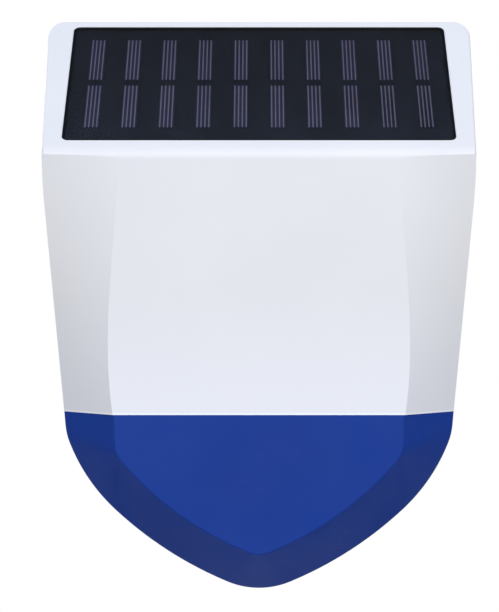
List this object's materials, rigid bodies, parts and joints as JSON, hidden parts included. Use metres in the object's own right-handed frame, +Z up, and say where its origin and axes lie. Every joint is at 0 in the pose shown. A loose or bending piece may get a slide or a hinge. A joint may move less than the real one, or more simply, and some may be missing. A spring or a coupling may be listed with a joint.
{
  "type": "alarm siren",
  "caption": "Wall-hung outdoor alarm siren with a sloping solar top, faceted white housing and a shield-shaped blue strobe lens.",
  "frame": {"origin": "on the wall plane, at the back face of the bracket, midway up the object and on its plane of symmetry", "axes": "+Z up along the height; +Y into the wall, so the front faces -Y; +X to the viewer's right"},
  "size_m": [0.1834, 0.08, 0.2438],
  "materials": {
    "white_abs": "satin moulded",
    "blue_lens": "glossy tinted",
    "silicone": "matt",
    "panel_cover": "clear glossy",
    "solar_cell": "dark, fine lines",
    "black_board": "solder mask",
    "green_board": "solder mask",
    "foam_tape": "foam",
    "zinc_steel": "zinc plated",
    "brass": "turned",
    "black_plastic": "moulded",
    "ceramic_disc": "fired",
    "battery_wrap": "shrink sleeve",
    "lead_red": "insulation",
    "chip_black": "epoxy",
    "led_white": "lens",
    "reflector": "vacuum plated"
  },
  "bodies": {
    "bracket": {"wall_bracket": "zinc_steel"},
    "lock_washer": {"lock_washer": "zinc_steel"},
    "lock_screw": {"lock_screw": "zinc_steel"},
    "tamper_plunger": {"tamper_plunger": "black_plastic"},
    "power_slider": {"power_slider": "black_plastic"},
    "pair_button": {"pair_button": "black_plastic"},
    "charge_flap": {"charge_flap": "silicone"},
    "siren": {"front_housing": "white_abs", "strobe_lens": "blue_lens", "lens_seal": "silicone", "solar_cover": "panel_cover", "solar_cells": "solar_cell", "solar_backboard": "black_board", "panel_tape": "foam_tape", "panel_lead": "lead_red", "rear_housing": "white_abs", "housing_gasket": "silicone", "housing_screws": "zinc_steel", "vent_plug": "black_plastic", "lock_insert": "brass", "sounder_case": "black_plastic", "sounder_foam": "foam_tape", "sounder_mesh": "black_plastic", "sounder_disc": "brass", "piezo_element": "ceramic_disc", "sounder_clamp": "black_plastic", "sounder_screws": "zinc_steel", "sounder_lead": "lead_red", "battery_tray": "black_plastic", "battery_cells": "battery_wrap", "battery_contacts": "zinc_steel", "battery_lead": "lead_red", "main_board": "green_board", "board_screws": "zinc_steel", "control_chip": "chip_black", "radio_module": "zinc_steel", "antenna": "brass", "capacitors": "black_plastic", "boost_coil": "chip_black", "lead_sockets": "white_abs", "strobe_board": "green_board", "strobe_screws": "zinc_steel", "strobe_leds": "led_white", "strobe_reflector": "reflector", "strobe_lead": "lead_red", "tamper_spring": "zinc_steel", "tamper_switch": "black_plastic", "button_switch": "black_plastic", "power_switch": "black_plastic", "charge_socket": "zinc_steel"}
  },
  "joints": [
    {"name": "lift_off", "type": "slide", "parent": "bracket", "child": "siren", "axis": [0, 0, 1], "range_m": [0, 0.008]},
    {"name": "lock_screw_travel", "type": "slide", "parent": "bracket", "child": "lock_washer", "axis": [0, 0, -1], "range_m": [0, 0.005]},
    {"name": "lock_screw_turn", "type": "hinge", "parent": "lock_washer", "child": "lock_screw", "pos_m": [0, -0.0116, -0.0975], "axis": [0, 0, -1], "range_deg": [0, 3602]},
    {"name": "tamper_press", "type": "slide", "parent": "siren", "child": "tamper_plunger", "axis": [0, 1, 0], "range_m": [0, 0.0029], "stiffness_N_per_m": 150, "springref_m": 0.005, "deforming": ["tamper_spring"]},
    {"name": "power_slide", "type": "slide", "parent": "siren", "child": "power_slider", "axis": [1, 0, 0], "range_m": [0, 0.003]},
    {"name": "pair_press", "type": "slide", "parent": "siren", "child": "pair_button", "axis": [0, -1, 0], "range_m": [0, 0.001], "stiffness_N_per_m": 600, "springref_m": -0.001},
    {"name": "flap_open", "type": "hinge", "parent": "siren", "child": "charge_flap", "pos_m": [-0.0535, -0.008, 0.088], "axis": [0, 0, 1], "range_deg": [0, 110], "stiffness_Nm_per_rad": 0.002}
  ],
  "couplings": [
    {"joint": "lock_screw_turn", "follows": "lock_screw_travel", "rad_per_m": 12566}
  ]
}
